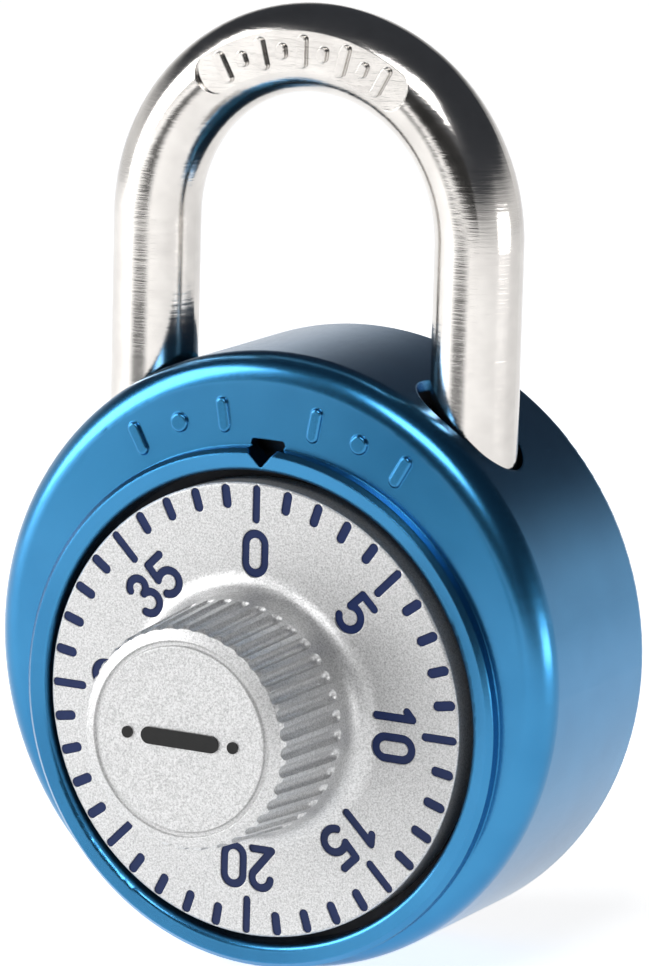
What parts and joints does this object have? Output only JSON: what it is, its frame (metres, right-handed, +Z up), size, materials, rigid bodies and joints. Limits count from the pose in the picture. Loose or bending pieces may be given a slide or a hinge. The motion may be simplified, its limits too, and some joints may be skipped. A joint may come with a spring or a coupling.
{
  "type": "combination padlock",
  "caption": "Round-bodied dial combination padlock with a hardened steel shackle, a knob-turned numbered dial and its internal wheel pack, lever and pawl.",
  "frame": {"origin": "centre of the flat back face, on the axis of the round case", "axes": "+Z up towards the shackle's crown, the dial faces -Y, +X to the right as one looks at the dial"},
  "size_m": [0.048, 0.0302, 0.0741],
  "materials": {
    "blue_cover": "glossy blue anodised aluminium",
    "case_steel": "pressed stainless steel",
    "dial_metal": "fine-grained satin silver",
    "marking_paint": "navy fill paint",
    "badge_black": "black paint",
    "shackle_steel": "polished nickel plate",
    "inner_black": "blackened steel",
    "inner_steel": "zinc-plated pressings",
    "wheel_zinc": "die-cast zinc",
    "spring_steel": "oiled spring wire",
    "bush_brass": "turned brass"
  },
  "bodies": {
    "case": {"front_cover": "blue_cover", "inner_case": "inner_black", "back_plate": "case_steel", "dial_bushing": "bush_brass", "thrust_washer": "bush_brass", "wheel_post": "inner_steel", "wheel_spacers": "bush_brass", "pack_spring": "spring_steel", "post_clip": "spring_steel", "shackle_retainer": "inner_steel", "lever_pivot": "inner_steel", "lever_spring": "spring_steel"},
    "dial_unit": {"dial": "dial_metal", "dial_markings": "marking_paint", "knob_mark": "badge_black", "dial_spindle": "inner_steel", "spindle_clip": "spring_steel", "drive_cam": "wheel_zinc"},
    "middle_wheel_unit": {"middle_wheel": "wheel_zinc"},
    "rear_wheel_unit": {"rear_wheel": "wheel_zinc"},
    "lever_unit": {"lever": "inner_steel", "fence": "inner_steel", "pawl_pin": "inner_steel", "pawl_spring": "spring_steel"},
    "pawl_unit": {"pawl": "inner_steel"},
    "shackle_unit": {"shackle": "shackle_steel"}
  },
  "joints": [
    {"name": "dial_turn", "type": "hinge", "parent": "case", "child": "dial_unit", "pos_m": [0, -0.01885, -0.0032], "axis": [0, -1, 0], "continuous": true},
    {"name": "middle_wheel_turn", "type": "hinge", "parent": "dial_unit", "child": "middle_wheel_unit", "pos_m": [0, -0.0081, -0.0032], "axis": [0, -1, 0], "range_deg": [-330, 0]},
    {"name": "rear_wheel_turn", "type": "hinge", "parent": "middle_wheel_unit", "child": "rear_wheel_unit", "pos_m": [0, -0.0048, -0.0032], "axis": [0, -1, 0], "range_deg": [-330, 0]},
    {"name": "lever_swing", "type": "hinge", "parent": "case", "child": "lever_unit", "pos_m": [0.0148, -0.003, -0.0116], "axis": [0, -1, 0], "range_deg": [0, 2.5], "stiffness_Nm_per_rad": 0.05, "springref_deg": -5.73},
    {"name": "pawl_swing", "type": "hinge", "parent": "lever_unit", "child": "pawl_unit", "pos_m": [0.0069, -0.0106, 0.0089], "axis": [0, -1, 0], "range_deg": [0, 70]},
    {"name": "shackle_lift", "type": "slide", "parent": "case", "child": "shackle_unit", "axis": [0, 0, 1], "range_m": [0, 0.0125]}
  ],
  "couplings": [
    {"joint": "pawl_swing", "follows": "shackle_lift", "rad_per_m": 97.7}
  ]
}
